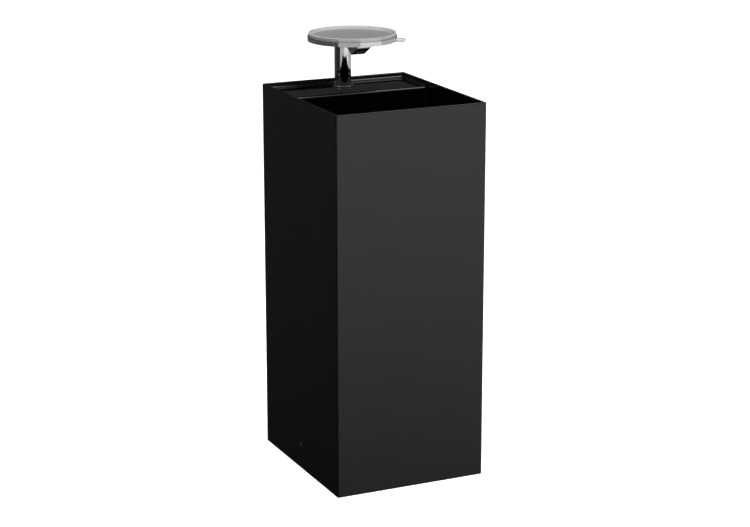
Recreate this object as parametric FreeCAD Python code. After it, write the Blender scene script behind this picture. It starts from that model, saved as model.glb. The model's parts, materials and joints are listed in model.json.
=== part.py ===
"""Freestanding washbasin: a tall hollow ceramic column with a bowl and a tap shelf in its top,
a single-hole mixer tap with a clear round lift-off tray and a clear swinging lever, a free-flow
waste with a bottle trap, and the floor brackets that hold the column down.

Millimetres. +X right, +Y back, +Z up. The origin is on the floor, under the middle of the column.
"""
import FreeCAD, Part
import math
import os

Vec = FreeCAD.Vector
UP = Vec(0, 0, 1)

# ---- ceramic column -------------------------------------------------------------------------
WIDTH = 375.0
DEPTH = 435.0
HEIGHT = 900.0
SHELL = 12.0              # wall of the hollow column
RIM = 7.0                 # wall at the top rim
CORNER_R = 3.5            # outer upright edges
RIM_R = 2.8               # rounding of the rim, inside and outside
DECK_DROP = 12.0          # tap shelf below the rim
DECK_DEPTH = 141.0        # tap shelf, from the outer back face to the bowl
SHELF_CORNER_R = 8.0      # upright inner corners behind the shelf
FILLET = 7.8              # glaze fillets round the shelf and the bowl's upright corners
DECK_EDGE_R = 6.5         # rounded front edge of the shelf
BOWL_TAPER = 8.0          # how far each bowl wall leans in at the floor
BOWL_TOP_STRAIGHT = 30.0  # upright part of the bowl wall, below the rim
BOWL_EDGE_DROP = 144.0    # bowl floor at its walls, below the rim
BOWL_FALL = 8.0           # fall of the floor to the drain
BOWL_FLOOR_R = 22.0
DRAIN_HOLE_R = 23.0
SUMP_R = 34.0
SUMP_DEPTH = 4.0
FLOOR_UNDERSIDE = 728.0
DECK_THICK = 14.0

HALF_W = WIDTH / 2
HALF_D = DEPTH / 2
DECK_Z = HEIGHT - DECK_DROP
RISER_Y = HALF_D - DECK_DEPTH
BOWL_FRONT = -HALF_D + RIM
BOWL_EDGE_Z = HEIGHT - BOWL_EDGE_DROP
SUMP_TOP = BOWL_EDGE_Z - BOWL_FALL
SUMP_Z = SUMP_TOP - SUMP_DEPTH
DRAIN_Y = (BOWL_FRONT + RISER_Y) / 2

SERVICE_HALF_W = 120.0    # opening in the back wall
SERVICE_LOW = 150.0
SERVICE_HIGH = 820.0
SERVICE_CORNER_R = 25.0
ROOM_CORNER_R = 10.0      # upright inner corners of the hollow
UNDER_DECK = DECK_Z - DECK_THICK

# ---- floor fixing ---------------------------------------------------------------------------
FIX_Z = 59.5
FIX_HOLE_R = 5.0
FIX_BORE_R = 7.5
FIX_BORE_DEPTH = 5.0
M8_R = 4.0
M8_ACROSS = 13.0
BRACKET_T = 3.0
BRACKET_HALF = 25.0
BRACKET_TALL = 82.0
BRACKET_FOOT = 55.0
FLOOR_HOLE_R = 5.5
FLOOR_HOLE_X = 145.0

# ---- mixer tap ------------------------------------------------------------------------------
TAP_Y = 165.3
COLUMN_R = 20.15
BASE_RING_R = 25.1
BASE_RING_H = 3.0
TAP_HOLE_R = 17.5
SPIGOT_R = 15.9
COLUMN_TOP = 996.6
ARM_HALF = 17.0
ARM_UNDERSIDE = ((0, 984.6), (22, 985.6), (43, 989.4))  # distance in front of the column, height
HEAD_ROOT = 26.0          # from the keel back to the arm
HEAD_ROOT_Z = 991.3
KEEL_Y = 78.0
KEEL_Z = 977.4
NOSE_Y = 43.5
NOSE_Z = 996.4
NOSE_TOP = 1003.0
STEP_Y = 93.0             # where the thin arm grows into the spout head
CARTRIDGE_BORE_R = 13.4
CARTRIDGE_SEAT = 938.0
NUT_Z = 978.0
NUT_H = 9.0
STEM_R = 5.9
TAIL_R = 5.0
TAIL_X = 8.0
TAIL_Y = TAP_Y + 3.5
TAIL_LOW = 690.0
TAIL_TOP = 905.0
TAIL_STOP_Z = 868.0       # collar that ends the free length of a tail
TAIL_STOP_R = 5.9
TAIL_GROOVE_Z = 897.6
TAIL_GROOVE_H = 2.2
TAIL_GROOVE_DEPTH = 0.9
STUD_Y = TAP_Y - 9.0
AERATOR_R = 10.8
AERATOR_DEPTH = 11.0
CHAMBER_R = 11.4          # room for the discs inside the cartridge
BASE_TOP = CARTRIDGE_SEAT + 6
DISC_T = 4.0
DRIVER_T = 6.0

# ---- lever and tray -------------------------------------------------------------------------
LEVER_Z = 997.6
LEVER_T = 7.8
LEVER_LENGTH = 150.0
LEVER_WIDTH = 20.0
LEVER_ANGLE = -33.0       # about the tap's column, from +X
LEVER_HUB_R = 17.0
LEVER_NECK = 13.0

TRAY_Y = 109.85
TRAY_LOW = 1006.75
TRAY_HIGH = 1026.05
CARRIER_R = 106.2
TRAY_R = 104.1
TRAY_FLOOR_Z = 1018.2     # inside floor of the tray
TRAY_FLOOR_T = 2.2
TRAY_SEAM_Z = 1018.0      # joint line between the tray and its carrier
TRAY_SEAM = 0.3
TRAY_SEAT_R = 100.2
TRAY_INNER_R = 98.6
TRAY_UNDER = TRAY_FLOOR_Z - TRAY_FLOOR_T
RIM_CORNER = 0.8
CARRIER_WALL = 3.9
CARRIER_PLATE = 3.5
PLATE_TOP = TRAY_UNDER - 0.1
PLATE_LOW = PLATE_TOP - CARRIER_PLATE
PAD_R = 6.0
PAD_T = 0.8
PAD_CIRCLE_R = 80.0
POST_R = 11.9
RUNNING = 0.06            # radial clearance of a running fit

# ---- waste and trap -------------------------------------------------------------------------
THREAD_R = 20.95          # G 1 1/4
PIPE_R = 16.0
PIPE_WALL = 1.2
FLANGE_R = 31.5
COVER_R = 30.0
TRAP_R = 32.0
TRAP_TOP = 604.0
TRAP_SPLIT = 520.0
TRAP_LOW = 476.0
OUTLET_Z = 566.0
NECK_LOW = 692.0
HUB_TOP = 738.0
STEM_GUIDE_R = 4.0
STUB_END = DRAIN_Y + TRAP_R + 24
PIPE_END = HALF_D - 0.5
PIPE_STOP_Y = 160.0       # bead that stops a wall socket
PIPE_STOP_R = 17.4
PIPE_STOP_T = 3.0


def box(x0, x1, y0, y1, z0, z1):
    return Part.makeBox(x1 - x0, y1 - y0, z1 - z0, Vec(x0, y0, z0))


def rod(radius, z0, z1, x=0.0, y=0.0):
    return Part.makeCylinder(radius, z1 - z0, Vec(x, y, z0), UP)


def tube(outer, inner, z0, z1, x=0.0, y=0.0):
    return rod(outer, z0, z1, x, y).cut(rod(inner, z0 - 1, z1 + 1, x, y))


def rod_along(radius, start, direction, length):
    return Part.makeCylinder(radius, length, start, direction)


def tube_along(outer, inner, start, direction, length):
    core = rod_along(inner, start - direction, direction, length + 2)
    return rod_along(outer, start, direction, length).cut(core)


def hexagon(across_flats, z0, z1, x=0.0, y=0.0):
    radius = across_flats / math.sqrt(3)
    corners = [Vec(x + radius * math.cos(math.radians(60 * i)),
                   y + radius * math.sin(math.radians(60 * i)), z0) for i in range(7)]
    return Part.Face(Part.makePolygon(corners)).extrude(Vec(0, 0, z1 - z0))


def rounded_wire(x0, x1, y0, y1, radius, z):
    """A closed rectangle with round corners, at height z."""
    k = radius * (1 - math.sqrt(0.5))
    edges = []
    corners = [(x1, y0, 1, -1), (x1, y1, 1, 1), (x0, y1, -1, 1), (x0, y0, -1, -1)]
    spots = []
    for i, (cx, cy, sx, sy) in enumerate(corners):
        along_x = Vec(cx - sx * radius, cy, z)
        along_y = Vec(cx, cy - sy * radius, z)
        middle = Vec(cx - sx * k, cy - sy * k, z)
        first, last = (along_x, along_y) if i % 2 == 0 else (along_y, along_x)
        spots.append((first, middle, last))
    for i, (first, middle, last) in enumerate(spots):
        edges.append(Part.Arc(first, middle, last).toShape())
        edges.append(Part.LineSegment(last, spots[(i + 1) % 4][0]).toShape())
    return Part.Wire(edges)


def rounded_block(x0, x1, y0, y1, radius, z0, z1):
    face = Part.Face(rounded_wire(x0, x1, y0, y1, radius, z0))
    return face.extrude(Vec(0, 0, z1 - z0))


def loft(*wires):
    return Part.makeLoft(list(wires), True, True)


def edges_where(shape, test):
    """Edges of a shape whose every sampled point passes the test."""
    found = []
    for edge in shape.Edges:
        first, last = edge.ParameterRange
        points = [edge.valueAt(first + (last - first) * i / 4) for i in range(5)]
        if all(test(p) for p in points):
            found.append(edge)
    return found


def revolve(points, x=0.0, y=0.0):
    """Solid of revolution about the upright line through (x, y), from (radius, height) points."""
    outline = [Vec(x + r, y, z) for r, z in points]
    face = Part.Face(Part.makePolygon(outline + [outline[0]]))
    return face.revolve(Vec(x, y, 0), UP, 360)


def mirrored(shape):
    return shape.mirror(Vec(0, 0, 0), Vec(1, 0, 0))


# ---- ceramic column -------------------------------------------------------------------------

def bowl_space():
    """The hollow of the tap shelf and the bowl, as one solid to cut from the column."""
    inner = HALF_W - RIM
    top = HEIGHT + 5
    straight = HEIGHT - BOWL_TOP_STRAIGHT
    shelf = rounded_block(-inner, inner, BOWL_FRONT, HALF_D - RIM, SHELF_CORNER_R, DECK_Z, top)
    shelf = shelf.makeFillet(FILLET, edges_where(shelf, lambda p: abs(p.z - DECK_Z) < 1e-3))
    upright = rounded_block(-inner, inner, BOWL_FRONT, RISER_Y, FILLET, straight, top)
    low = inner - BOWL_TAPER
    walls = loft(rounded_wire(-inner, inner, BOWL_FRONT, RISER_Y, FILLET, straight),
                 rounded_wire(-low, low, BOWL_FRONT + BOWL_TAPER, RISER_Y - BOWL_TAPER,
                              BOWL_FLOOR_R, BOWL_EDGE_Z))
    floor = loft(rounded_wire(-low, low, BOWL_FRONT + BOWL_TAPER, RISER_Y - BOWL_TAPER,
                              BOWL_FLOOR_R, BOWL_EDGE_Z),
                 rounded_wire(-SUMP_R - 4, SUMP_R + 4, DRAIN_Y - SUMP_R - 4, DRAIN_Y + SUMP_R + 4,
                              SUMP_R + 3.9, SUMP_TOP))
    bowl = upright.fuse(walls).fuse(floor).removeSplitter()
    rim_of_floor = edges_where(bowl, lambda p: abs(p.z - BOWL_EDGE_Z) < 1e-3)
    bowl = bowl.makeFillet(BOWL_FLOOR_R - 4, rim_of_floor)
    return shelf, bowl


def basin_body():
    outer = rounded_block(-HALF_W, HALF_W, -HALF_D, HALF_D, CORNER_R, 0, HEIGHT)
    shelf, bowl = bowl_space()
    body = outer.cut(shelf.fuse(bowl))
    front_of_deck = edges_where(
        body, lambda p: abs(p.y - RISER_Y) < 0.5 and abs(p.z - DECK_Z) < 0.5)
    body = body.makeFillet(DECK_EDGE_R, front_of_deck)
    body = body.makeFillet(RIM_R, edges_where(body, lambda p: abs(p.z - HEIGHT) < 1e-3))
    inside = HALF_W - SHELL
    back_wall = HALF_D - SHELL
    room = rounded_block(-inside, inside, -back_wall, back_wall, ROOM_CORNER_R, -1,
                         FLOOR_UNDERSIDE)
    behind = rounded_block(-inside, inside, RISER_Y + SHELL, back_wall, ROOM_CORNER_R,
                           FLOOR_UNDERSIDE - 30, UNDER_DECK)
    body = body.cut(room.fuse(behind))
    service = rounded_block(-SERVICE_HALF_W, SERVICE_HALF_W, SERVICE_LOW, SERVICE_HIGH,
                            SERVICE_CORNER_R, 0, 40)
    service.rotate(Vec(0, 0, 0), Vec(1, 0, 0), 90)
    service.translate(Vec(0, HALF_D + 20, 0))
    body = body.cut(service)
    body = body.cut(rod(DRAIN_HOLE_R, FLOOR_UNDERSIDE - 1, HEIGHT, 0, DRAIN_Y))
    body = body.cut(rod(SUMP_R, SUMP_Z, HEIGHT, 0, DRAIN_Y))
    body = body.cut(rod(TAP_HOLE_R, DECK_Z - 40, DECK_Z + 5, 0, TAP_Y))
    for side in (-1, 1):
        direction = Vec(side, 0, 0)
        body = body.cut(rod_along(FIX_HOLE_R, Vec(side * 150, 0, FIX_Z), direction, 60))
        mouth = Vec(side * (HALF_W - FIX_BORE_DEPTH), 0, FIX_Z)
        body = body.cut(rod_along(FIX_BORE_R, mouth, direction, 20))
    return body


# ---- floor fixing ---------------------------------------------------------------------------

def floor_bracket_right():
    wall = HALF_W - SHELL
    upright = box(wall - BRACKET_T, wall, -BRACKET_HALF, BRACKET_HALF, 0, BRACKET_TALL)
    foot = box(wall - BRACKET_FOOT, wall, -BRACKET_HALF, BRACKET_HALF, 0, BRACKET_T)
    bracket = upright.fuse(foot).removeSplitter()
    bend = edges_where(bracket, lambda p: abs(p.x - wall + BRACKET_T) < 1e-3
                       and abs(p.z - BRACKET_T) < 1e-3)
    bracket = bracket.makeFillet(2.5, bend)
    corners = edges_where(bracket, lambda p: abs(abs(p.y) - BRACKET_HALF) < 1e-3
                          and (abs(p.z - BRACKET_TALL) < 1e-3 or abs(p.x - wall + BRACKET_FOOT) < 1e-3))
    across = [e for e in corners if e.Length < BRACKET_T + 0.1]
    bracket = bracket.makeFillet(8, across)
    bracket = bracket.cut(rod_along(M8_R + 0.5, Vec(wall - 20, 0, FIX_Z), Vec(1, 0, 0), 40))
    return bracket.cut(rod(FLOOR_HOLE_R, -1, 10, FLOOR_HOLE_X, 0))


def side_screw():
    seat = HALF_W - FIX_BORE_DEPTH
    shaft = rod_along(M8_R, Vec(seat - 24, 0, FIX_Z), Vec(1, 0, 0), 24)
    head = rod_along(6.6, Vec(seat, 0, FIX_Z), Vec(1, 0, 0), 2.4)
    head = head.makeFillet(0.8, edges_where(head, lambda p: abs(p.x - seat - 2.4) < 1e-3))
    socket = hexagon(5, 0, 1.6)
    socket.rotate(Vec(0, 0, 0), Vec(0, 1, 0), 90)
    socket.translate(Vec(seat + 1.0, 0, FIX_Z))
    return shaft.fuse(head).cut(socket)


def side_screw_sleeve():
    start = Vec(HALF_W - SHELL, 0, FIX_Z)
    return tube_along(FIX_HOLE_R, M8_R, start, Vec(1, 0, 0), SHELL - FIX_BORE_DEPTH)


def cover_cap():
    low = HALF_W - 2.5
    cap = rod_along(FIX_BORE_R - 0.1, Vec(low, 0, FIX_Z), Vec(1, 0, 0), 2.3)
    cap = cap.makeFillet(1.2, edges_where(cap, lambda p: abs(p.x - low - 2.3) < 1e-3))
    return cap


def bracket_nut():
    nut = hexagon(M8_ACROSS, 0, 6.5)
    nut.rotate(Vec(0, 0, 0), Vec(0, 1, 0), 90)
    nut.translate(Vec(HALF_W - SHELL - BRACKET_T - 6.5, 0, FIX_Z))
    return nut.cut(rod_along(M8_R, Vec(100, 0, FIX_Z), Vec(1, 0, 0), 90))


# ---- mixer tap ------------------------------------------------------------------------------

def nose_axis():
    """Middle of the spout's slanted mouth, and the direction into the spout."""
    run = Vec(0, NOSE_Y - KEEL_Y, NOSE_Z - KEEL_Z)
    middle = Vec(0, (NOSE_Y + KEEL_Y) / 2, (NOSE_Z + KEEL_Z) / 2)
    inward = Vec(0, run.z, -run.y)
    inward.normalize()
    return middle, inward


def spout_arm():
    """Thin arm from the column, ending in a head whose slanted mouth faces down and forward."""
    profile = [(TAP_Y - run, z) for run, z in ARM_UNDERSIDE]
    profile += [
        (KEEL_Y + HEAD_ROOT, HEAD_ROOT_Z), (KEEL_Y, KEEL_Z), (NOSE_Y, NOSE_Z),
        (NOSE_Y - 1.5, NOSE_Z + 2.5), (NOSE_Y - 1.5, NOSE_TOP), (STEP_Y - 5, NOSE_TOP),
        (STEP_Y, COLUMN_TOP), (TAP_Y, COLUMN_TOP),
    ]
    outline = [Vec(-ARM_HALF, y, z) for y, z in profile]
    face = Part.Face(Part.makePolygon(outline + [outline[0]]))
    arm = face.extrude(Vec(2 * ARM_HALF, 0, 0))
    long_edges = edges_where(arm, lambda p: abs(abs(p.x) - ARM_HALF) < 1e-3
                             and p.y < TAP_Y - 1)
    keel = edges_where(arm, lambda p: abs(p.z - KEEL_Z) < 1e-3 and abs(p.y - KEEL_Y) < 1e-3)
    return arm.makeFillet(0.9, long_edges + keel)


def sector(inner, outer, z0, z1, half_angle):
    """Part of a ring round the tap's column, centred on its front."""
    ring = tube(outer, inner, z0, z1, 0, TAP_Y)
    reach = outer * 2
    spread = reach * math.tan(math.radians(half_angle))
    corners = [Vec(0, TAP_Y, z0), Vec(-spread, TAP_Y - reach, z0), Vec(spread, TAP_Y - reach, z0)]
    wedge = Part.Face(Part.makePolygon(corners + [corners[0]])).extrude(Vec(0, 0, z1 - z0))
    return ring.common(wedge)


def tap_body():
    foot = DECK_Z + BASE_RING_H
    body = rod(COLUMN_R, foot, COLUMN_TOP, 0, TAP_Y)
    body = body.makeFillet(0.8, edges_where(body, lambda p: abs(p.z - COLUMN_TOP) < 1e-3))
    body = body.fuse(spout_arm()).fuse(rod(SPIGOT_R, foot - 8, foot, 0, TAP_Y)).removeSplitter()
    body = body.cut(rod(CARTRIDGE_BORE_R, CARTRIDGE_SEAT, COLUMN_TOP + 20, 0, TAP_Y))
    for side in (-1, 1):
        body = body.cut(rod(TAIL_R, foot - 10, TAIL_TOP, side * TAIL_X, TAIL_Y))
        body = body.cut(rod(3, TAIL_TOP - 1, CARTRIDGE_SEAT + 1, side * TAIL_X, TAIL_Y))
    body = body.cut(rod(M8_R, foot - 10, foot + 14, 0, STUD_Y))
    body = body.cut(sector(14.8, 18.4, 968, 993, 34))
    body = body.cut(sector(12.0, 15.5, 968, 974, 34))
    channel = box(-13, 13, STEP_Y - 10, TAP_Y - 15.5, 992.5, 995.0)
    channel = channel.fuse(box(-13, 13, STEP_Y - 35, STEP_Y - 7, 990, 1000))
    boss = rod(6.8, 985, 1005, 0, TRAY_Y)
    body = body.cut(channel.cut(boss))
    middle, inward = nose_axis()
    body = body.cut(rod_along(AERATOR_R, middle - inward * 5, inward, AERATOR_DEPTH + 5))
    body = body.cut(rod(2.5, 980, 1005, 0, TRAY_Y))
    return body.cut(rod(4.6, 980, 992.4, 0, TRAY_Y))


def tap_base_ring():
    ring = tube(BASE_RING_R, SPIGOT_R + 0.05, DECK_Z, DECK_Z + BASE_RING_H, 0, TAP_Y)
    top = edges_where(ring, lambda p: abs(p.z - DECK_Z - BASE_RING_H) < 1e-3
                      and math.hypot(p.x, p.y - TAP_Y) > COLUMN_R)
    ring = ring.makeFillet(1.2, top)
    return ring.cut(tube(22.5, 18.5, DECK_Z - 1, DECK_Z + 1.2, 0, TAP_Y))


def tap_base_seal():
    return tube(22.5, 18.5, DECK_Z, DECK_Z + 1.2, 0, TAP_Y)


def horseshoe(z0, z1):
    """Crescent washer under the shelf, open round the two supply tails."""
    plate = rod(23, z0, z1, 0, TAP_Y)
    slot = rounded_block(-14.5, 14.5, TAP_Y - 2.5, TAP_Y + 40, 4, z0 - 1, z1 + 1)
    return plate.cut(slot).cut(rod(M8_R + 0.3, z0 - 1, z1 + 1, 0, STUD_Y))


def tap_rubber_washer():
    return horseshoe(UNDER_DECK - 3, UNDER_DECK)


def tap_clamp_plate():
    return horseshoe(UNDER_DECK - 6, UNDER_DECK - 3)


def tap_nut():
    nut = hexagon(M8_ACROSS, UNDER_DECK - 12.5, UNDER_DECK - 6, 0, STUD_Y)
    return nut.cut(rod(M8_R, UNDER_DECK - 20, UNDER_DECK, 0, STUD_Y))


def tap_stud():
    return rod(M8_R, UNDER_DECK - 55, DECK_Z + BASE_RING_H + 14, 0, STUD_Y)


def supply_tail(side):
    x = side * TAIL_X
    tail = rod(TAIL_R, TAIL_LOW, TAIL_TOP, x, TAIL_Y)
    tail = tail.fuse(rod(TAIL_STOP_R, TAIL_STOP_Z, TAIL_STOP_Z + 2, x, TAIL_Y))
    groove_top = TAIL_GROOVE_Z + TAIL_GROOVE_H
    groove_r = TAIL_R - TAIL_GROOVE_DEPTH
    tail = tail.cut(tube(TAIL_R + 1, groove_r, TAIL_GROOVE_Z, groove_top, x, TAIL_Y))
    return tail.cut(rod(TAIL_R - 1.4, TAIL_LOW - 1, TAIL_TOP + 1, x, TAIL_Y))


def tail_seal(side):
    low = TAIL_GROOVE_Z + 0.2
    high = TAIL_GROOVE_Z + TAIL_GROOVE_H - 0.2
    return tube(TAIL_R, TAIL_R - TAIL_GROOVE_DEPTH, low, high, side * TAIL_X, TAIL_Y)


# ---- ceramic-disc cartridge -----------------------------------------------------------------

def cartridge_body():
    shell = rod(CARTRIDGE_BORE_R - 0.05, CARTRIDGE_SEAT + 1, NUT_Z, 0, TAP_Y)
    shell = shell.cut(rod(CHAMBER_R, CARTRIDGE_SEAT, BASE_TOP + 2 * DISC_T + DRIVER_T + 0.3, 0, TAP_Y))
    shell = shell.cut(rod(STEM_R + RUNNING, CARTRIDGE_SEAT, NUT_Z + 1, 0, TAP_Y))
    shell = shell.cut(sector(10.5, 14.5, 969, 973, 20))
    return shell.cut(tube(8.2, STEM_R, 970, 972.6, 0, TAP_Y))


def cartridge_base():
    base = rod(CHAMBER_R, CARTRIDGE_SEAT + 1, BASE_TOP, 0, TAP_Y)
    for side in (-1, 1):
        base = base.cut(rod(3, 930, 950, side * 6.5, TAIL_Y - 1))
    return base.cut(rod(3, 930, 950, 0, TAP_Y - 6.5))


def cartridge_gasket():
    gasket = rod(12.6, CARTRIDGE_SEAT, CARTRIDGE_SEAT + 1, 0, TAP_Y)
    for side in (-1, 1):
        gasket = gasket.cut(rod(3.4, 930, 950, side * 6.8, TAIL_Y - 1))
    return gasket


def ceramic_disc_fixed():
    disc = rod(CHAMBER_R, BASE_TOP, BASE_TOP + DISC_T, 0, TAP_Y)
    for side in (-1, 1):
        disc = disc.cut(rod(2.6, 930, 960, side * 6.0, TAIL_Y - 1))
    return disc.cut(rod(2.6, 930, 960, 0, TAP_Y - 6.5))


def ceramic_disc_moving():
    low = BASE_TOP + DISC_T + 0.05
    disc = rod(CHAMBER_R - 0.35, low, low + DISC_T - 0.05, 0, TAP_Y)
    return disc.cut(rounded_block(-3, 3, TAP_Y - 8, TAP_Y + 5, 2.5, low - 1, low + 2))


def cartridge_stem():
    low = BASE_TOP + 2 * DISC_T
    driver = rod(CHAMBER_R - 0.35, low, low + DRIVER_T, 0, TAP_Y)
    stem = rod(STEM_R, low, LEVER_Z + LEVER_T - 2.5, 0, TAP_Y)
    return driver.fuse(stem).cut(rod(2, LEVER_Z - 8, LEVER_Z + LEVER_T, 0, TAP_Y))


def stem_seal():
    return tube(8.2, STEM_R + RUNNING, 970, 972.6, 0, TAP_Y)


def cartridge_nut():
    nut = rod(CARTRIDGE_BORE_R, NUT_Z, NUT_Z + NUT_H, 0, TAP_Y)
    return nut.cut(hexagon(17, NUT_Z - 1, NUT_Z + NUT_H + 1, 0, TAP_Y))


def lever_glide_washer():
    return tube(19, 14.2, COLUMN_TOP, LEVER_Z - 0.1, 0, TAP_Y)


# ---- lever, tray and spout mouth ------------------------------------------------------------

def lever():
    """Flat bar that widens from its hub, drawn along +X and turned to its place."""
    half = LEVER_WIDTH / 2
    neck = LEVER_NECK / 2
    tip_r = 4.0
    k = tip_r * (1 - math.sqrt(0.5))
    end = LEVER_LENGTH
    upper = [Vec(0, neck, 0), Vec(34, neck, 0), Vec(62, half, 0), Vec(end - tip_r, half, 0)]
    lower = [Vec(p.x, -p.y, 0) for p in reversed(upper)]
    edges = [Part.LineSegment(a, b).toShape() for a, b in zip(upper, upper[1:])]
    edges.append(Part.Arc(upper[-1], Vec(end - k, half - k, 0), Vec(end, half - tip_r, 0)).toShape())
    edges.append(Part.LineSegment(Vec(end, half - tip_r, 0), Vec(end, tip_r - half, 0)).toShape())
    edges.append(Part.Arc(Vec(end, tip_r - half, 0), Vec(end - k, k - half, 0), lower[0]).toShape())
    edges += [Part.LineSegment(a, b).toShape() for a, b in zip(lower, lower[1:])]
    edges.append(Part.LineSegment(lower[-1], upper[0]).toShape())
    bar = Part.Face(Part.Wire(edges)).extrude(Vec(0, 0, LEVER_T))
    bar = bar.fuse(rod(LEVER_HUB_R, 0, LEVER_T)).removeSplitter()
    flat = edges_where(bar, lambda p: abs(p.z) < 1e-3 or abs(p.z - LEVER_T) < 1e-3)
    bar = bar.makeFillet(1.0, flat)
    bar = bar.cut(rod(STEM_R, -1, LEVER_T - 2.5)).cut(rod(2.2, -1, LEVER_T + 1))
    bar = bar.cut(rod(4.2, LEVER_T - 1.5, LEVER_T + 1))
    bar.rotate(Vec(0, 0, 0), UP, LEVER_ANGLE)
    bar.translate(Vec(0, TAP_Y, LEVER_Z))
    return bar


def lever_screw():
    top = LEVER_Z + LEVER_T
    screw = rod(2, top - 9, top - 1.5, 0, TAP_Y).fuse(rod(4, top - 1.5, top + 0.6, 0, TAP_Y))
    return screw.cut(hexagon(2.5, top - 1, top + 2, 0, TAP_Y))


def tray():
    """Shallow dish whose rim covers the edge of the carrier."""
    rim_low = TRAY_SEAM_Z + TRAY_SEAM / 2
    lip = TRAY_INNER_R + 1.6
    outline = [
        (0, TRAY_UNDER), (TRAY_SEAT_R, TRAY_UNDER), (TRAY_SEAT_R, rim_low),
        (TRAY_R - 0.4, rim_low), (TRAY_R, rim_low + 0.4), (TRAY_R, TRAY_HIGH - RIM_CORNER),
        (TRAY_R - 0.3, TRAY_HIGH - 0.2), (TRAY_R - RIM_CORNER, TRAY_HIGH),
        (lip + 0.6, TRAY_HIGH), (lip, TRAY_HIGH - 0.5), (TRAY_INNER_R, TRAY_FLOOR_Z + 2.4),
        (TRAY_INNER_R - 0.6, TRAY_FLOOR_Z + 0.8), (TRAY_INNER_R - 2.2, TRAY_FLOOR_Z),
        (0, TRAY_FLOOR_Z),
    ]
    return revolve(outline, 0, TRAY_Y)


def pad_places():
    turns = [math.radians(90 + 120 * i) for i in range(3)]
    return [(PAD_CIRCLE_R * math.cos(t), TRAY_Y + PAD_CIRCLE_R * math.sin(t)) for t in turns]


def tray_carrier():
    """Round shell, open below, that the tray sits on."""
    rim_top = TRAY_SEAM_Z - TRAY_SEAM / 2
    inside = CARRIER_R - CARRIER_WALL
    outline = [
        (0, PLATE_LOW), (inside - 2, PLATE_LOW), (inside, PLATE_LOW - 2), (inside, TRAY_LOW),
        (CARRIER_R - 0.4, TRAY_LOW), (CARRIER_R, TRAY_LOW + 0.4),
        (CARRIER_R, rim_top - 0.4), (CARRIER_R - 0.4, rim_top),
        (TRAY_SEAT_R + 0.3, rim_top), (TRAY_SEAT_R + 0.3, PLATE_TOP), (0, PLATE_TOP),
    ]
    carrier = revolve(outline, 0, TRAY_Y)
    for x, y in pad_places():
        carrier = carrier.cut(rod(PAD_R, TRAY_UNDER - PAD_T, TRAY_HIGH, x, y))
    carrier = carrier.cut(rod(2.5, PLATE_LOW - 1, PLATE_TOP + 1, 0, TRAY_Y))
    return carrier.cut(rod(5, PLATE_TOP - 2.2, PLATE_TOP + 1, 0, TRAY_Y))


def tray_pads():
    return Part.makeCompound([rod(PAD_R, TRAY_UNDER - PAD_T, TRAY_UNDER, x, y)
                              for x, y in pad_places()])


def carrier_screw():
    head = rod(4.8, PLATE_TOP - 2.2, PLATE_TOP - 0.2, 0, TRAY_Y)
    screw = head.fuse(rod(2.5, PLATE_LOW - 7, PLATE_TOP - 2.2, 0, TRAY_Y))
    return screw.cut(hexagon(3, PLATE_TOP - 1.8, PLATE_TOP + 1, 0, TRAY_Y))


def tray_post():
    post = rod(POST_R, COLUMN_TOP, PLATE_LOW, 0, TRAY_Y)
    post = post.fuse(rod(24, PLATE_LOW - 3, PLATE_LOW, 0, TRAY_Y))
    post = post.cut(rod(2.5, COLUMN_TOP - 1, COLUMN_TOP + 5, 0, TRAY_Y))
    return post.cut(rod(2.5, PLATE_LOW - 7, PLATE_LOW + 1, 0, TRAY_Y))


def tray_post_screw():
    return rod(2.5, 992.4, COLUMN_TOP + 4.5, 0, TRAY_Y).fuse(rod(4.4, 990.9, 992.4, 0, TRAY_Y))


def aerator_housing():
    middle, inward = nose_axis()
    return tube_along(AERATOR_R, 8.6, middle + inward * 0.4, inward, 8.6)


def aerator_insert():
    middle, inward = nose_axis()
    insert = rod_along(8.6, middle + inward * 1.0, inward, 6.0)
    side = Vec(1, 0, 0)
    over = inward.cross(side)
    for ring_r, count in ((0.0, 1), (2.9, 6), (5.9, 12)):
        for i in range(count):
            turn = math.radians(360 * i / count)
            spot = side * (ring_r * math.cos(turn)) + over * (ring_r * math.sin(turn))
            insert = insert.cut(rod_along(1.0, middle + spot - inward, inward, 12))
    return insert


def aerator_seal():
    middle, inward = nose_axis()
    return tube_along(AERATOR_R - 0.2, 7.4, middle + inward * 9.0, inward, 1.8)


# ---- waste and bottle trap ------------------------------------------------------------------

def waste_fitting():
    flange_z = SUMP_Z + 1.5
    outline = [
        (THREAD_R - 2.2, NECK_LOW), (THREAD_R, NECK_LOW), (THREAD_R, flange_z), (FLANGE_R, flange_z),
        (FLANGE_R, flange_z + 1.2), (FLANGE_R - 1.4, flange_z + 2.2), (24, flange_z + 2.4),
        (THREAD_R - 2.2, flange_z - 0.6),
    ]
    return revolve(outline, 0, DRAIN_Y)


def waste_strainer():
    outer = THREAD_R - 2.2
    strainer = tube(outer, outer - 1.5, HUB_TOP - 5, HUB_TOP, 0, DRAIN_Y)
    strainer = strainer.fuse(rod(STEM_GUIDE_R + 2.5, HUB_TOP - 5, HUB_TOP, 0, DRAIN_Y))
    for i in range(3):
        bar = box(-outer + 0.6, outer - 0.6, -0.9, 0.9, HUB_TOP - 5, HUB_TOP)
        bar.rotate(Vec(0, 0, 0), UP, 60 * i)
        bar.translate(Vec(0, DRAIN_Y, 0))
        strainer = strainer.fuse(bar)
    strainer = strainer.removeSplitter()
    return strainer.cut(rod(STEM_GUIDE_R + RUNNING, HUB_TOP - 9, HUB_TOP + 5, 0, DRAIN_Y))


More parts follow.
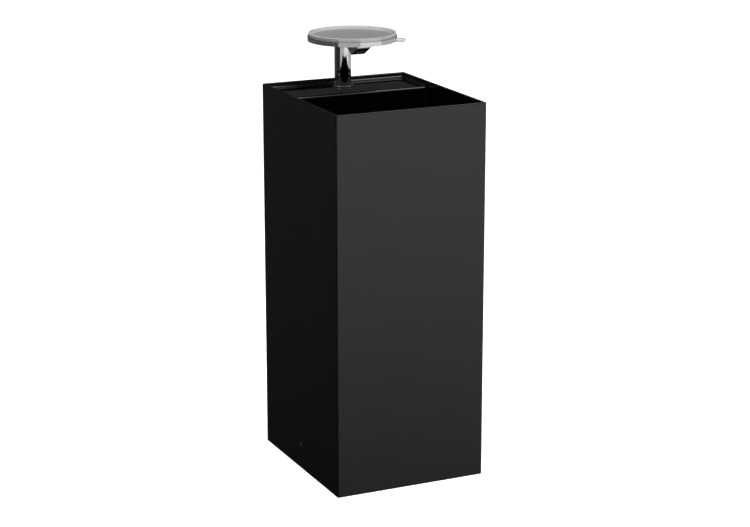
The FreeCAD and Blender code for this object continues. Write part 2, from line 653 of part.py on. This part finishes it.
def drain_cover():
    top = SUMP_TOP + 6.0
    outline = [
        (0, HUB_TOP - 8), (STEM_GUIDE_R, HUB_TOP - 8), (STEM_GUIDE_R, HUB_TOP), (6, HUB_TOP),
        (6, top - 3.2), (COVER_R - 1.2, top - 3.6), (COVER_R, top - 3.0), (COVER_R, top - 1.9),
        (COVER_R - 1.2, top - 1.0), (COVER_R * 0.6, top - 0.2), (0, top),
    ]
    return revolve(outline, 0, DRAIN_Y)


def waste_top_seal():
    return tube(FLANGE_R - 0.5, THREAD_R, SUMP_Z, SUMP_Z + 1.5, 0, DRAIN_Y)


def waste_bottom_seal():
    return tube(31, THREAD_R, FLOOR_UNDERSIDE - 4, FLOOR_UNDERSIDE, 0, DRAIN_Y)


def waste_lock_nut():
    nut = hexagon(54, FLOOR_UNDERSIDE - 13, FLOOR_UNDERSIDE - 4, 0, DRAIN_Y)
    nut = nut.common(rod(29.5, 0, HEIGHT, 0, DRAIN_Y))
    return nut.cut(rod(THREAD_R, 600, HEIGHT, 0, DRAIN_Y))


def knurled(outer, z0, z1, ribs=18):
    """A round nut with shallow grip flutes."""
    nut = rod(outer, z0, z1, 0, DRAIN_Y)
    for i in range(ribs):
        turn = math.radians(360 * i / ribs)
        spot = (outer + 1.4) * math.cos(turn), DRAIN_Y + (outer + 1.4) * math.sin(turn)
        nut = nut.cut(rod(2.2, z0 - 1, z1 + 1, *spot))
    return nut


def trap_inlet_nut():
    nut = knurled(26, NECK_LOW - 10, NECK_LOW + 14)
    nut = nut.cut(rod(PIPE_R + 0.1, 600, 800, 0, DRAIN_Y))
    return nut.cut(rod(THREAD_R, NECK_LOW - 4, 800, 0, DRAIN_Y))


def trap_inlet_seal():
    return tube(THREAD_R - 0.2, PIPE_R, NECK_LOW - 2, NECK_LOW, 0, DRAIN_Y)


def trap_dip_tube():
    pipe = rod(PIPE_R, 508, NECK_LOW - 2, 0, DRAIN_Y)
    pipe = pipe.fuse(rod(THREAD_R - 0.2, NECK_LOW - 4, NECK_LOW - 2, 0, DRAIN_Y))
    return pipe.cut(rod(PIPE_R - PIPE_WALL, 500, 700, 0, DRAIN_Y))


def trap_body():
    outline = [
        (TRAP_R - 3, TRAP_SPLIT), (TRAP_R, TRAP_SPLIT), (TRAP_R, TRAP_TOP - 6),
        (TRAP_R - 6, TRAP_TOP), (21, TRAP_TOP), (21, TRAP_TOP + 18), (18, TRAP_TOP + 18),
        (18, TRAP_TOP - 3), (TRAP_R - 7, TRAP_TOP - 3), (TRAP_R - 3, TRAP_TOP - 7),
    ]
    body = revolve(outline, 0, DRAIN_Y)
    back = Vec(0, 1, 0)
    start = Vec(0, DRAIN_Y + TRAP_R - 6, OUTLET_Z)
    stub = rod_along(THREAD_R, start, back, 30)
    hollow = rod(TRAP_R - 3, TRAP_SPLIT, TRAP_TOP - 10, 0, DRAIN_Y)
    body = body.fuse(stub.cut(hollow)).removeSplitter()
    return body.cut(rod_along(PIPE_R + 1.4, Vec(0, DRAIN_Y + 20, OUTLET_Z), back, 60))


def trap_neck_nut():
    low = TRAP_TOP + 6
    nut = knurled(26, low, low + 18)
    nut = nut.cut(rod(PIPE_R + 0.1, 500, 700, 0, DRAIN_Y))
    return nut.cut(rod(21, low - 1, TRAP_TOP + 20.5, 0, DRAIN_Y))


def trap_neck_seal():
    return tube(20.5, PIPE_R, TRAP_TOP + 18, TRAP_TOP + 20.5, 0, DRAIN_Y)


def trap_cup():
    outer = TRAP_R + 4
    outline = [
        (0, TRAP_LOW), (24, TRAP_LOW), (30, TRAP_LOW + 6), (outer, TRAP_SPLIT - 6),
        (outer, TRAP_SPLIT + 16), (TRAP_R, TRAP_SPLIT + 16), (TRAP_R, TRAP_SPLIT - 2),
        (TRAP_R - 3, TRAP_SPLIT - 2), (27, TRAP_LOW + 10), (22, TRAP_LOW + 3), (0, TRAP_LOW + 3),
    ]
    return revolve(outline, 0, DRAIN_Y)


def trap_cup_seal():
    return tube(TRAP_R, TRAP_R - 3, TRAP_SPLIT - 2, TRAP_SPLIT, 0, DRAIN_Y)


def trap_outlet_pipe():
    back = Vec(0, 1, 0)
    start = Vec(0, STUB_END - 18, OUTLET_Z)
    length = PIPE_END - start.y
    pipe = rod_along(PIPE_R, start, back, length)
    bead = rod_along(PIPE_STOP_R, Vec(0, PIPE_STOP_Y, OUTLET_Z), back, PIPE_STOP_T)
    ends = (PIPE_STOP_Y, PIPE_STOP_Y + PIPE_STOP_T)
    rims = edges_where(bead, lambda p: min(abs(p.y - ends[0]), abs(p.y - ends[1])) < 1e-3)
    bead = bead.makeFillet(1.0, rims)
    return pipe.fuse(bead).cut(rod_along(PIPE_R - PIPE_WALL, start - back, back, length + 2))


def trap_outlet_nut():
    back = Vec(0, 1, 0)
    nut = knurled(26, 0, 20)
    nut.translate(Vec(0, -DRAIN_Y, 0))
    nut.rotate(Vec(0, 0, 0), Vec(1, 0, 0), -90)
    nut.translate(Vec(0, STUB_END - 14, OUTLET_Z))
    nut = nut.cut(rod_along(PIPE_R + 0.1, Vec(0, STUB_END - 30, OUTLET_Z), back, 60))
    return nut.cut(rod_along(THREAD_R, Vec(0, STUB_END - 30, OUTLET_Z), back, 32.5))


def trap_outlet_seal():
    return tube_along(THREAD_R - 0.4, PIPE_R, Vec(0, STUB_END, OUTLET_Z), Vec(0, 1, 0), 2.5)


# ---- every sub-part by its node name --------------------------------------------------------

def pair(make):
    """The same piece on the right and, mirrored, on the left."""
    piece = make()
    return Part.makeCompound([piece, mirrored(piece)])


NODES = {
    "basin_body": basin_body,
    "floor_bracket_right": floor_bracket_right,
    "floor_bracket_left": lambda: mirrored(floor_bracket_right()),
    "side_screws": lambda: pair(side_screw),
    "side_screw_sleeves": lambda: pair(side_screw_sleeve),
    "cover_caps": lambda: pair(cover_cap),
    "bracket_nuts": lambda: pair(bracket_nut),
    "tap_body": tap_body,
    "tap_base_ring": tap_base_ring,
    "tap_base_seal": tap_base_seal,
    "tap_rubber_washer": tap_rubber_washer,
    "tap_clamp_plate": tap_clamp_plate,
    "tap_nut": tap_nut,
    "tap_stud": tap_stud,
    "supply_tail_cold": lambda: supply_tail(1),
    "supply_tail_hot": lambda: supply_tail(-1),
    "supply_tail_seals": lambda: Part.makeCompound([tail_seal(-1), tail_seal(1)]),
    "cartridge_body": cartridge_body,
    "cartridge_base": cartridge_base,
    "cartridge_gasket": cartridge_gasket,
    "ceramic_disc_fixed": ceramic_disc_fixed,
    "ceramic_disc_moving": ceramic_disc_moving,
    "cartridge_stem": cartridge_stem,
    "stem_seal": stem_seal,
    "cartridge_nut": cartridge_nut,
    "lever_glide_washer": lever_glide_washer,
    "lever": lever,
    "lever_screw": lever_screw,
    "tray": tray,
    "tray_post": tray_post,
    "tray_post_screw": tray_post_screw,
    "tray_carrier": tray_carrier,
    "tray_pads": tray_pads,
    "carrier_screw": carrier_screw,
    "aerator_housing": aerator_housing,
    "aerator_insert": aerator_insert,
    "aerator_seal": aerator_seal,
    "waste_fitting": waste_fitting,
    "waste_strainer": waste_strainer,
    "drain_cover": drain_cover,
    "waste_top_seal": waste_top_seal,
    "waste_bottom_seal": waste_bottom_seal,
    "waste_lock_nut": waste_lock_nut,
    "trap_inlet_nut": trap_inlet_nut,
    "trap_inlet_seal": trap_inlet_seal,
    "trap_dip_tube": trap_dip_tube,
    "trap_body": trap_body,
    "trap_neck_nut": trap_neck_nut,
    "trap_neck_seal": trap_neck_seal,
    "trap_cup": trap_cup,
    "trap_cup_seal": trap_cup_seal,
    "trap_outlet_nut": trap_outlet_nut,
    "trap_outlet_seal": trap_outlet_seal,
    "trap_outlet_pipe": trap_outlet_pipe,
}

os.makedirs("parts", exist_ok=True)
for name, make in NODES.items():
    shape = make()
    shape.exportStep(f"parts/{name}.step")
    bounds = shape.BoundBox
    print(f"{name:22s} {len(shape.Solids)} solid(s) valid={shape.isValid()} "
          f"{shape.Volume / 1000:10.2f} cm3  z {bounds.ZMin:.1f}..{bounds.ZMax:.1f}")
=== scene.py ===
"""Looks of the freestanding washbasin: glaze, chrome, clear plastic, studio and camera."""
import json
import math

import bmesh
import bpy
from mathutils import Matrix, Vector


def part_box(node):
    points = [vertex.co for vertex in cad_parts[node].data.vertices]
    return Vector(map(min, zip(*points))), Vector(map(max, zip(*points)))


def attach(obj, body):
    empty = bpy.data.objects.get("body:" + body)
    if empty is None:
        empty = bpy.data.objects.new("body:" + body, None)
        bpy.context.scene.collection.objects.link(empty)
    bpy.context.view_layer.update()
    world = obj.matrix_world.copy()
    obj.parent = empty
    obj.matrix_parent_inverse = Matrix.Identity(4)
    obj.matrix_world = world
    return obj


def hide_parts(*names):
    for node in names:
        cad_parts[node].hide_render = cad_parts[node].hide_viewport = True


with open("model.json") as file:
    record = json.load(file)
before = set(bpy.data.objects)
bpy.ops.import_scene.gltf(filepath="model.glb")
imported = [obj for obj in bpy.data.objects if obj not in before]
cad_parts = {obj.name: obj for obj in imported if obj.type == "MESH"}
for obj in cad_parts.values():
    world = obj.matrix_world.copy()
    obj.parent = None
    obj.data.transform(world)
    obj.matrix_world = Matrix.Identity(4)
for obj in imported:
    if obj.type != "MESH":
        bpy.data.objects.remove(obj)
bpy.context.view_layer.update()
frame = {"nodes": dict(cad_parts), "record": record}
NODES = frame["nodes"]
SCENE = bpy.context.scene


# ---- node helpers ---------------------------------------------------------------------------

# the Mix node's colour sockets
MIX_FIRST = 6
MIX_SECOND = 7
MIX_COLOUR = 2


class Shader:
    """A material's node tree, with short calls for the nodes used here."""

    def __init__(self, name):
        self.material = bpy.data.materials.new(name)
        self.material.use_nodes = True
        self.tree = self.material.node_tree
        self.tree.nodes.clear()
        self.output = self.tree.nodes.new("ShaderNodeOutputMaterial")
        self.surface = self.tree.nodes.new("ShaderNodeBsdfPrincipled")
        self.link(self.surface.outputs[0], self.output.inputs["Surface"])
        self.place = self.tree.nodes.new("ShaderNodeTexCoord").outputs["Object"]

    def link(self, source, target):
        self.tree.links.new(source, target)

    def set(self, **values):
        """Constants straight on the surface's sockets; an underscore stands for a space."""
        for name, value in values.items():
            self.surface.inputs[name.replace("_", " ")].default_value = value

    def noise(self, scale, detail=3.0, rough=0.55):
        node = self.tree.nodes.new("ShaderNodeTexNoise")
        node.inputs["Scale"].default_value = scale
        node.inputs["Detail"].default_value = detail
        node.inputs["Roughness"].default_value = rough
        self.link(self.place, node.inputs["Vector"])
        return node.outputs["Fac"]

    def map(self, source, low, high, to_low, to_high):
        node = self.tree.nodes.new("ShaderNodeMapRange")
        node.inputs["From Min"].default_value = low
        node.inputs["From Max"].default_value = high
        node.inputs["To Min"].default_value = to_low
        node.inputs["To Max"].default_value = to_high
        self.link(source, node.inputs["Value"])
        return node.outputs["Result"]

    def mix(self, factor, first, second):
        node = self.tree.nodes.new("ShaderNodeMix")
        node.data_type = "RGBA"
        self.link(factor, node.inputs["Factor"])
        node.inputs[MIX_FIRST].default_value = (*first, 1)
        node.inputs[MIX_SECOND].default_value = (*second, 1)
        return node.outputs[MIX_COLOUR]

    def bump(self, layers):
        """Bumps over each other: (height source, depth in metres)."""
        normal = None
        for height, depth in layers:
            node = self.tree.nodes.new("ShaderNodeBump")
            node.inputs["Strength"].default_value = 1.0
            node.inputs["Distance"].default_value = depth
            self.link(height, node.inputs["Height"])
            if normal is not None:
                self.link(normal, node.inputs["Normal"])
            normal = node.outputs["Normal"]
        self.link(normal, self.surface.inputs["Normal"])

    def to(self, source, name):
        self.link(source, self.surface.inputs[name])


def black_glaze():
    """Near-black glaze: slow waves in the surface, fine grain, and a slightly uneven gloss."""
    s = Shader("black_glaze")
    s.set(IOR=1.6)
    tone = s.map(s.noise(9.0), 0.3, 0.7, 0.0, 1.0)
    s.to(s.mix(tone, (0.0010, 0.0010, 0.0010), (0.0015, 0.0015, 0.0014)), "Base Color")
    s.to(s.map(s.noise(30.0), 0.3, 0.7, 0.03, 0.06), "Roughness")
    s.bump([(s.noise(5.0, 1.0), 0.00035), (s.noise(320.0, 2.0), 0.0000035)])
    return s.material


def chrome(name, dull, bright, metallic=1.0):
    """Polished plating whose tone wanders between two greys."""
    s = Shader(name)
    s.set(Metallic=metallic)
    tone = s.map(s.noise(40.0), 0.35, 0.65, 0.0, 1.0)
    s.to(s.mix(tone, dull, bright), "Base Color")
    s.to(s.map(s.noise(260.0, 4.0), 0.3, 0.7, 0.03, 0.06), "Roughness")
    s.bump([(s.noise(60.0, 2.0), 0.000004)])
    return s.material


def satin_steel(name, colour, rough):
    """Bare or plated metal with a fine grain."""
    s = Shader(name)
    s.set(Metallic=1.0)
    dark = tuple(c * 0.82 for c in colour)
    s.to(s.mix(s.map(s.noise(55.0, 5.0), 0.3, 0.7, 0.0, 1.0), dark, colour), "Base Color")
    s.to(s.map(s.noise(420.0, 4.0), 0.3, 0.7, rough - 0.06, rough + 0.08), "Roughness")
    s.bump([(s.noise(500.0, 3.0), 0.00001)])
    return s.material


def plastic(name, colour, rough):
    """Opaque plastic, rubber or disc ceramic with a faint texture; also used for the painted shade
    line at the tray's joint.
    """
    s = Shader(name)
    light = tuple(min(1.0, c * 1.12) for c in colour)
    s.to(s.mix(s.map(s.noise(25.0), 0.35, 0.65, 0.0, 1.0), colour, light), "Base Color")
    s.to(s.map(s.noise(200.0, 3.0), 0.3, 0.7, rough - 0.04, rough + 0.06), "Roughness")
    s.bump([(s.noise(1400.0, 2.0), 0.000008)])
    return s.material


def clear_plastic(name, tint, clear, rough, metallic=0.0):
    """Clear plastic; the share that isn't clear scatters light in the tint."""
    s = Shader(name)
    s.set(IOR=1.49, Transmission_Weight=clear, Metallic=metallic)
    lighter = tuple(min(1.0, c * 1.04) for c in tint)
    s.to(s.mix(s.map(s.noise(30.0), 0.3, 0.7, 0, 1), tint, lighter), "Base Color")
    s.to(s.map(s.noise(150.0), 0.3, 0.7, rough, rough + 0.07), "Roughness")
    s.bump([(s.noise(80.0, 2.0), 0.000004)])
    return s.material


def satin_floor():
    """Satin grey floor of the clear tray."""
    s = Shader("satin_floor")
    s.set(Metallic=0.2)
    s.to(s.mix(s.map(s.noise(18.0), 0.35, 0.65, 0, 1), (0.207, 0.207, 0.204), (0.224, 0.224, 0.220)),
         "Base Color")
    s.to(s.map(s.noise(700.0, 2.0), 0.3, 0.7, 0.42, 0.5), "Roughness")
    s.bump([(s.noise(2200.0, 2.0), 0.000006)])
    return s.material


# ---- turned pieces --------------------------------------------------------------------------

MM = 0.001
SIDES = 192                       # faces round a turned piece
SHARP = math.radians(35)          # edges sharper than this are not smoothed
ARC_STEP = math.radians(11)       # largest turn between two points of a rounded corner
EASING_SHARE = 0.3                # short flat beside each rounding, as a share of its radius
EASING_LIMIT = 0.2 * MM
ON_AXIS = 1e-7                    # a point nearer to the axis than this is on it

TRAY_FLOOR = 2.2 * MM             # inside floor, above the tray's underside
TRAY_SEAM = 2.15 * MM             # underside of the rim, above the tray's underside
TRAY_SEAT = 3.9 * MM              # step under the rim, in from the outside
TRAY_WALL = 5.5 * MM              # foot of the wall, in from the outside
TRAY_WALL_SLOPE = 1.4 * MM        # how much thinner the wall is at its top
TRAY_CLEAR_FLOOR = 2.2 * MM       # clear strip between the wall and the satin floor
TRAY_JOINT_SHADE = 0.3 * MM             # height of the painted shade line at the joint, on the tray
CARRIER_WALL = 3.9 * MM           # skirt, in from the outside
CARRIER_LEDGE = 5.7 * MM          # rim, in from the outside
CARRIER_DISH = 1.95 * MM          # plate, below the rim
CARRIER_PLATE = 3.5 * MM          # thickness of the plate
CARRIER_JOINT_SHADE = 0.25 * MM         # height of the painted shade line at the joint, on the carrier
CARRIER_JOINT_SHADE_IN = 1.7 * MM       # how far that painted shade line reaches in on the rim
RING_WALL = 9.15 * MM             # foot ring, in from the outside


def outline(corners):
    """Rounds the corners of a closed (radius, height, rounding, slot) outline, all in metres."""
    points = []
    count = len(corners)
    for i, (r, z, rounding, slot) in enumerate(corners):
        before = Vector(corners[i - 1][:2])
        here = Vector((r, z))
        after = Vector(corners[(i + 1) % count][:2])
        if rounding == 0:
            points.append((here, slot))
            continue
        back = (before - here).normalized()
        ahead = (after - here).normalized()
        half = back.angle(ahead) / 2
        reach = rounding / math.tan(half)
        centre = here + (back + ahead).normalized() * (rounding / math.sin(half))
        start = here + back * reach
        end = here + ahead * reach
        turn = (start - centre).angle_signed(end - centre)
        steps = max(3, math.ceil(abs(turn) / ARC_STEP))
        easing = min(EASING_SHARE * rounding, EASING_LIMIT)
        points.append((start + back * easing, slot))
        for k in range(steps + 1):
            arm = (start - centre).copy()
            arm.rotate(Matrix.Rotation(-turn * k / steps, 2))
            points.append((centre + arm, slot))
        points.append((end + ahead * easing, slot))
    return points


def turned(name, centre, corners, materials):
    """A closed mesh turned about the upright line through centre."""
    mesh = bpy.data.meshes.new(name)
    shape = bmesh.new()
    rings = []
    points = outline(corners)
    for point, _ in points:
        if point.x < ON_AXIS:
            rings.append([shape.verts.new((centre[0], centre[1], point.y))])
            continue
        rings.append([shape.verts.new((centre[0] + point.x * math.cos(2 * math.pi * k / SIDES),
                                       centre[1] + point.x * math.sin(2 * math.pi * k / SIDES),
                                       point.y)) for k in range(SIDES)])
    for i, (_, slot) in enumerate(points):
        first, second = rings[i], rings[(i + 1) % len(rings)]
        if len(first) == 1 and len(second) == 1:
            continue
        for k in range(SIDES):
            n = (k + 1) % SIDES
            if len(first) == 1:
                corners_of_face = (first[0], second[n], second[k])
            elif len(second) == 1:
                corners_of_face = (first[k], first[n], second[0])
            else:
                corners_of_face = (first[k], first[n], second[n], second[k])
            face = shape.faces.new(corners_of_face)
            face.smooth = True
            face.material_index = slot
    bmesh.ops.recalc_face_normals(shape, faces=shape.faces)
    shape.to_mesh(mesh)
    shape.free()
    mesh.set_sharp_from_angle(angle=SHARP)
    for material in materials:
        mesh.materials.append(material)
    piece = bpy.data.objects.new(name, mesh)
    SCENE.collection.objects.link(piece)
    return piece


def round_node(node):
    """Centre, radius, lowest and highest point of an upright round CAD node."""
    low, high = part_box(node)
    return (low + high) / 2, (high[0] - low[0]) / 2, low[2], high[2]


def tray_dish():
    """Clear dish with a satin floor; the rim's outer face is polished and mirrors the room."""
    clear, polished, satin, joint_shade = range(4)
    centre, radius, low, high = round_node("tray")
    floor = low + TRAY_FLOOR
    seam = low + TRAY_SEAM
    seat = radius - TRAY_SEAT
    inner = radius - TRAY_WALL
    satin_edge = inner - TRAY_CLEAR_FLOOR
    # the joint slot on the rim's lowest outer rounding is painted shade for the gap above the
    # carrier
    corners = [
        (0, low, 0, satin), (seat, low, 0, satin), (seat, seam, 0, clear),
        (radius, seam, 0.25 * MM, joint_shade), (radius, seam + TRAY_JOINT_SHADE, 0, polished),
        (radius, high, 0.9 * MM, clear), (inner + TRAY_WALL_SLOPE, high, 1.2 * MM, clear),
        (inner, floor, 1.6 * MM, clear), (satin_edge, floor, 0, satin), (0, floor, 0, satin),
    ]
    piece = turned("tray_dish", centre, corners, [CLEAR, CLEAR_POLISHED, SATIN_FLOOR, JOINT_SHADE])
    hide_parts("tray")
    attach(piece, "tray_lift_off")


def carrier_shell():
    """Polished round shell, open below, that the dish sits on."""
    polished, joint_shade = range(2)
    centre, radius, low, high = round_node("tray_carrier")
    inside = radius - CARRIER_WALL
    ledge = radius - CARRIER_LEDGE
    plate_top = high - CARRIER_DISH
    plate_low = plate_top - CARRIER_PLATE
    # the joint slot on the top outer rounding and the rim's outer edge is painted shade for the gap
    # under the dish
    corners = [
        (0, plate_low, 0, polished), (inside, plate_low, 1.8 * MM, polished),
        (inside, low, 0.3 * MM, polished), (radius, low, 0.5 * MM, polished),
        (radius, high - CARRIER_JOINT_SHADE, 0, joint_shade), (radius, high, 0.2 * MM, joint_shade),
        (radius - CARRIER_JOINT_SHADE_IN, high, 0, polished), (ledge, high, 0, polished),
        (ledge, plate_top, 0, polished), (0, plate_top, 0, polished),
    ]
    piece = turned("carrier_shell", centre, corners, [CARRIER_CHROME, JOINT_SHADE])
    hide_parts("tray_carrier")
    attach(piece, "column")


def foot_ring():
    """Flat ring under the tap, with a rounded top edge."""
    centre, radius, low, high = round_node("tap_base_ring")
    inner = radius - RING_WALL
    corners = [(inner, low, 0, 0), (radius, low, 0.2 * MM, 0), (radius, high, 1.1 * MM, 0),
               (inner, high, 0, 0)]
    piece = turned("foot_ring", centre, corners, [SLOT_MATERIALS["chrome"]])
    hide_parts("tap_base_ring")
    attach(piece, "column")


# ---- studio ---------------------------------------------------------------------------------

# Angles are in degrees: round from the front, positive towards the left, and up from the horizon.
# A panel is a band of light below the horizon, so only upright faces mirror it.
PANELS = (          # from, to, softness, radiance
    (4.0, 60.0, 1.5, 0.42),
    (-56.0, 4.0, 1.5, 0.80),
    (-125.0, -56.0, 1.5, 0.44),
    (125.0, 180.0, 15.0, 0.03),
    (-180.0, -125.0, 5.0, 0.30),
)
AROUND = 0.02       # radiance between the panels
ABOVE = 0.045       # radiance of the sky
# ramps: first angle, second angle, value at the first, value at the second
FLOOR_FADE = (-30.0, -8.0, 0.05, 1.0)
NEAR_FLOOR = (-52.0, -30.0, 0.4, 0.0)
HORIZON = (0.0, 3.0, 1.0, 0.0)
# a softbox high in front: where it starts and ends upwards, and where it ends to either side
OVERHEAD = (37.0, 45.0, 0.0, 2.1)
OVERHEAD_END = (74.0, 82.0, 1.0, 0.0)
OVERHEAD_SIDES = (86.0, 106.0, 1.0, 0.0)


def studio_world():
    """Light panels low around the object, a dim sky and a softbox high in front."""
    world = bpy.data.worlds.new("studio")
    world.use_nodes = True
    SCENE.world = world
    tree = world.node_tree
    tree.nodes.clear()

    def math_node(operation, a, b=None):
        made = tree.nodes.new("ShaderNodeMath")
        made.operation = operation
        for socket, value in zip(made.inputs, (a, b)):
            if value is None:
                continue
            if isinstance(value, (int, float)):
                socket.default_value = value
            else:
                tree.links.new(value, socket)
        return made.outputs[0]

    def ramp(source, low, high, to_low=0.0, to_high=1.0):
        made = tree.nodes.new("ShaderNodeMapRange")
        made.interpolation_type = "SMOOTHSTEP"
        for name, value in (("From Min", low), ("From Max", high),
                            ("To Min", to_low), ("To Max", to_high)):
            made.inputs[name].default_value = value
        tree.links.new(source, made.inputs["Value"])
        return made.outputs["Result"]

    direction = tree.nodes.new("ShaderNodeTexCoord").outputs["Generated"]
    split = tree.nodes.new("ShaderNodeSeparateXYZ")
    tree.links.new(direction, split.inputs[0])
    x, y, z = split.outputs
    around = math_node("DEGREES", math_node("ARCTAN2", math_node("MULTIPLY", x, -1),
                                            math_node("MULTIPLY", y, -1)))
    height = math_node("DEGREES", math_node("ARCSINE", z))

    def panel(low, high, soft, radiance):
        rise = ramp(around, low - soft, low + soft)
        fall = ramp(around, high - soft, high + soft, 1.0, 0.0)
        return math_node("MULTIPLY", math_node("MULTIPLY", rise, fall), radiance)

    total = None
    for low, high, soft, radiance in PANELS:
        light = panel(low, high, soft, radiance)
        total = light if total is None else math_node("ADD", total, light)
    total = math_node("ADD", total, AROUND)
    near = math_node("MULTIPLY", total, ramp(height, *NEAR_FLOOR))
    total = math_node("ADD", math_node("MULTIPLY", total, ramp(height, *FLOOR_FADE)), near)
    total = math_node("MULTIPLY", total, ramp(height, *HORIZON))
    sky = ramp(height, HORIZON[0], HORIZON[1], 0.0, ABOVE)
    total = math_node("ADD", total, sky)
    softbox = math_node("MULTIPLY", ramp(height, *OVERHEAD), ramp(height, *OVERHEAD_END))
    in_front = ramp(math_node("ABSOLUTE", around), *OVERHEAD_SIDES)
    total = math_node("ADD", total, math_node("MULTIPLY", softbox, in_front))

    # seen directly, or through clear plastic, the studio is white
    path = tree.nodes.new("ShaderNodeLightPath")
    seen = math_node("MAXIMUM", path.outputs["Is Camera Ray"], path.outputs["Is Transmission Ray"])
    level = tree.nodes.new("ShaderNodeMix")
    factor, _, from_studio, white = level.inputs[:4]
    tree.links.new(seen, factor)
    tree.links.new(total, from_studio)
    white.default_value = 1.0
    background = tree.nodes.new("ShaderNodeBackground")
    background.inputs["Color"].default_value = (1, 1, 1, 1)
    tree.links.new(level.outputs[0], background.inputs["Strength"])
    output = tree.nodes.new("ShaderNodeOutputWorld")
    tree.links.new(background.outputs[0], output.inputs["Surface"])


FLOOR_SIZE = 40.0           # metres


def pale_floor():
    """White floor that glows a little, so that it has no horizon; polished faces don't mirror it."""
    bpy.ops.mesh.primitive_plane_add(size=FLOOR_SIZE, location=(0, 0, 0))
    floor = bpy.context.object
    floor.name = "studio_floor"
    material = bpy.data.materials.new("pale_floor")
    material.use_nodes = True
    surface = material.node_tree.nodes["Principled BSDF"]
    surface.inputs["Base Color"].default_value = (0.85, 0.85, 0.85, 1)
    surface.inputs["Roughness"].default_value = 1.0
    surface.inputs["Specular IOR Level"].default_value = 0.0
    surface.inputs["Emission Color"].default_value = (1, 1, 1, 1)
    surface.inputs["Emission Strength"].default_value = 0.7
    floor.data.materials.append(material)
    floor.visible_glossy = False


LIGHT_PLACE = Vector((0.0, -0.4, 3.6))
LIGHT_SIDE = 3.2
LIGHT_POWER = 110           # watts


def overhead_light():
    """Soft light from above, aimed at the column's foot."""
    data = bpy.data.lights.new("overhead", "AREA")
    data.shape = "RECTANGLE"
    data.size = LIGHT_SIDE
    data.size_y = LIGHT_SIDE
    data.energy = LIGHT_POWER
    light = bpy.data.objects.new("overhead", data)
    light.location = LIGHT_PLACE
    light.rotation_euler = (-LIGHT_PLACE).to_track_quat("-Z", "Y").to_euler()
    light.visible_glossy = False
    light.visible_camera = False
    SCENE.collection.objects.link(light)


CAMERA_PLACE = (-2.0435, -4.4055, 1.815)
CAMERA_YAW = 24.97          # degrees, from +Y towards +X
CAMERA_PITCH = -15.29       # degrees, below the horizon
LENS = 101.57               # mm
SENSOR_WIDTH = 36.0         # mm
CLIP_END = 100.0            # metres


def camera():
    data = bpy.data.cameras.new("camera")
    data.lens = LENS
    data.sensor_width = SENSOR_WIDTH
    data.clip_end = CLIP_END
    item = bpy.data.objects.new("camera", data)
    item.location = CAMERA_PLACE
    item.rotation_euler = (math.radians(90 + CAMERA_PITCH), 0, math.radians(-CAMERA_YAW))
    SCENE.collection.objects.link(item)
    SCENE.camera = item


# ---- assembly -------------------------------------------------------------------------------

CLEAR = clear_plastic("clear_rim", (0.74, 0.74, 0.73), 0.68, 0.42)
CLEAR_POLISHED = clear_plastic("clear_rim_outside", (0.72, 0.72, 0.71), 0.7, 0.05, 0.4)
CARRIER_CHROME = chrome("carrier_chrome", (0.74, 0.745, 0.75), (0.78, 0.785, 0.79), 0.93)
# near-black matte on the joint's edge roundings: painted shade standing in for the dark gap between
# the clear dish and the carrier
JOINT_SHADE = plastic("joint_shade_line", (0.012, 0.012, 0.012), 0.6)
SATIN_FLOOR = satin_floor()
SLOT_MATERIALS = {
    "black_ceramic": black_glaze(),
    "chrome": chrome("polished_chrome", (0.84, 0.85, 0.86), (0.88, 0.885, 0.89)),
    "brass": satin_steel("turned_brass", (0.78, 0.60, 0.30), 0.28),
    "zinc_steel": satin_steel("zinc_plate", (0.62, 0.63, 0.65), 0.38),
    "clear_plastic": clear_plastic("clear_lever", (0.71, 0.71, 0.705), 0.75, 0.28),
    "black_plastic": plastic("black_plastic", (0.012, 0.012, 0.012), 0.35),
    "white_plastic": plastic("white_plastic", (0.72, 0.72, 0.70), 0.42),
    "black_rubber": plastic("black_rubber", (0.018, 0.018, 0.018), 0.65),
    "disc_ceramic": plastic("disc_ceramic", (0.80, 0.79, 0.76), 0.25),
    "copper_tube": satin_steel("copper_tube", (0.80, 0.45, 0.32), 0.25),
}

for part in frame["record"]["subparts"]:
    slots = NODES[part["node"]].data.materials
    slots.clear()
    slots.append(SLOT_MATERIALS[part["material_slot"]])

tray_dish()
carrier_shell()
foot_ring()
SCENE.view_settings.view_transform = "Standard"
studio_world()
pale_floor()
overhead_light()
camera()
